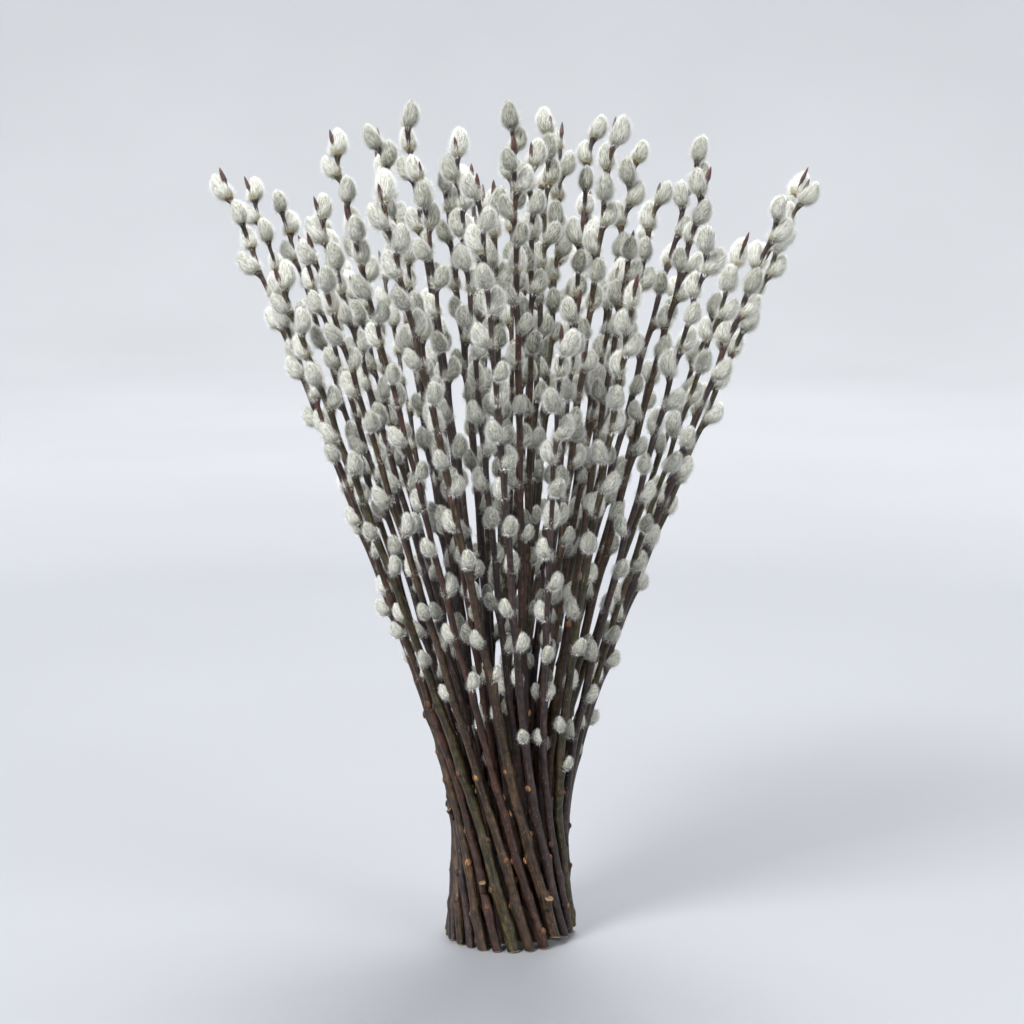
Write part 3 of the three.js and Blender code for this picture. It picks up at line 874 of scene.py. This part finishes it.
def make_stage():
    """A round bowl of painted board, in metres: a flat floor that curves up into a wall as a quarter
    circle, its profile turned about the axis."""
    floor, fillet, wall = 4.5, 2.0, 5.5
    bend = np.linspace(0, math.pi / 2, 13)
    out = np.concatenate([[0.0, 0.6, 1.5, 3.0], floor + fillet * np.sin(bend), [floor + fillet]])
    up = np.concatenate([[0.0, 0.0, 0.0, 0.0], fillet * (1 - np.cos(bend)), [wall]])
    sides = 64
    angle = np.arange(sides) * 2 * math.pi / sides
    level = np.stack([np.outer(out, np.cos(angle)), np.outer(out, np.sin(angle))], -1)
    points = np.concatenate([level, np.broadcast_to(up[:, None, None], (len(up), sides, 1))], -1)
    mesh = bpy.data.meshes.new("studio_bowl")
    r, s = np.meshgrid(np.arange(1, len(out) - 1), np.arange(sides), indexing="ij")
    a, b = r * sides + s, r * sides + (s + 1) % sides
    quads = np.stack([a, a + sides, b + sides, b], -1).reshape(-1, 4)
    middle = np.stack([0 * angle, sides + np.arange(sides), sides + (np.arange(sides) + 1) % sides], -1)
    mesh.from_pydata(points.reshape(-1, 3).tolist(), [], quads.tolist() + middle.astype(int).tolist())
    mesh.validate()
    mesh.polygons.foreach_set("use_smooth", np.full(len(mesh.polygons), True))
    material, tree, surface = new_material("painted studio floor")
    place = node(tree, "TexCoord").outputs["Object"]
    out = node(tree, "VectorMath", {"operation": "LENGTH"}, {0: place}).outputs["Value"]
    # painted light: the board is painted darker near the middle, where the lamps light it most, and lighter
    # out to the wall, which gets less light, so that it looks evenly bright
    away = node(tree, "MapRange", {1: 1.5, 2: 4.6}, {0: out}).outputs[0]
    patch = node(tree, "TexNoise", {"Scale": 1.5, "Detail": 2}, {"Vector": place}).outputs[0]
    colour = blend(tree, away, linear("8b8d91"), linear("b6b8bb"))
    shade = ramp(tree, patch, (0.3, "fafafa"), (0.7, "ffffff"))
    colour = blend(tree, 1.0, colour, shade, "MULTIPLY")
    tree.links.new(colour, surface.inputs["Base Color"])
    surface.inputs["Roughness"].default_value = 0.75
    surface.inputs["Specular IOR Level"].default_value = 0.2
    mesh.materials.append(material)
    bowl = bpy.data.objects.new("studio_bowl", mesh)
    bpy.context.scene.collection.objects.link(bowl)


def make_light(name, place, target, size, power):
    """A round soft light, its size in metres and its power in watts."""
    light = bpy.data.lights.new(name, "AREA")
    light.shape = "DISK"
    light.size = size
    light.energy = power
    lamp = bpy.data.objects.new(name, light)
    lamp.location = place
    lamp.rotation_euler = aim(place, target)
    bpy.context.scene.collection.objects.link(lamp)


def aim(place, target):
    """The turn that makes a lamp or a camera at one place look at another."""
    return (Vector(target) - Vector(place)).to_track_quat("-Z", "Y").to_euler()


def make_studio():
    """Pale light from all round, a key light at the front left, a fill at the right and one from above."""
    scene = bpy.context.scene
    scene.view_settings.view_transform = "Standard"
    world = bpy.data.worlds.new("studio")
    world.use_nodes = True
    background = world.node_tree.nodes["Background"]
    background.inputs["Color"].default_value = linear("f3f5f8")
    background.inputs["Strength"].default_value = 0.64
    scene.world = world
    make_light("key", (-3.0, -3.4, 4.4), (0, 0, 0.3), 2.0, 500)
    make_light("fill", (3.6, -2.8, 3.0), (0, 0, 0.3), 3.0, 150)
    make_light("top", (0.3, 2.2, 4.6), (0, 0, 0.2), 2.6, 360)


def make_camera():
    """The viewer stands a little above the bunch and looks slightly down at its middle."""
    distance, elevation, height = 1.83, math.radians(9.0), 0.327
    lens = bpy.data.cameras.new("camera")
    lens.lens = 85
    lens.sensor_width = 36
    camera = bpy.data.objects.new("camera", lens)
    target = (0.0, 0.0, height)
    place = (0.0, -distance * math.cos(elevation), height + distance * math.sin(elevation))
    camera.location = place
    camera.rotation_euler = aim(place, target)
    bpy.context.scene.collection.objects.link(camera)
    bpy.context.scene.camera = camera


# ---- everything together ----


def check_layout(branches):
    """Stops if a branch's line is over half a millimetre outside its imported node, or its foot is at
    another height: the layout here would be out of step."""
    for number, branch in enumerate(branches, 1):
        low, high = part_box(f"branch_{number:02d}")
        line = centre(branch, np.linspace(branch.foot, branch.top, 40)) * 0.001 + AXIS
        outside = max((np.array(low) - line).max(), (line - np.array(high)).max())
        ends = abs(low[2] * 1000 - branch.foot)
        if outside > 0.0005 or ends > 0.01:
            raise SystemExit(f"branch {number} isn't where the packed model has it")


make_studio()
make_camera()
make_stage()

branches = [make_branch(number) for number in range(1, len(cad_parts))]
place_catkins(branches)
check_layout(branches)

barks = [
    willow_bark("willow bark purple", "1c1212", "5c4341", "47332b"),
    willow_bark("willow bark brown", "1f150e", "6d5236", "573e28"),
    willow_bark("willow bark olive", "1e1a0e", "685b31", "524022"),
    willow_bark("willow bark red", "22120f", "69412f", "4a2f20"),
]
shares = np.array([0.34, 0.32, 0.19, 0.15])
kinds = np.random.default_rng(77).choice(len(barks), len(branches), p=shares)
cut, scale, scar, silk = cut_willow(), bud_scale(), bud_scar(), catkin_silk()

for number, branch in enumerate(branches, 1):
    packed = f"branch_{number:02d}"
    wood = make_wood(branch, number, [barks[kinds[number - 1]], cut, scale, scar])
    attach(wood, "root")
    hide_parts(packed)
    if branch.catkins:
        catkins = make_catkins(branch, number, [silk])
        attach(catkins, "root")
        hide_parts(packed)

wire = make_wire(annealed_wire())
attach(wire, "root")
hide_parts("binding_wire")
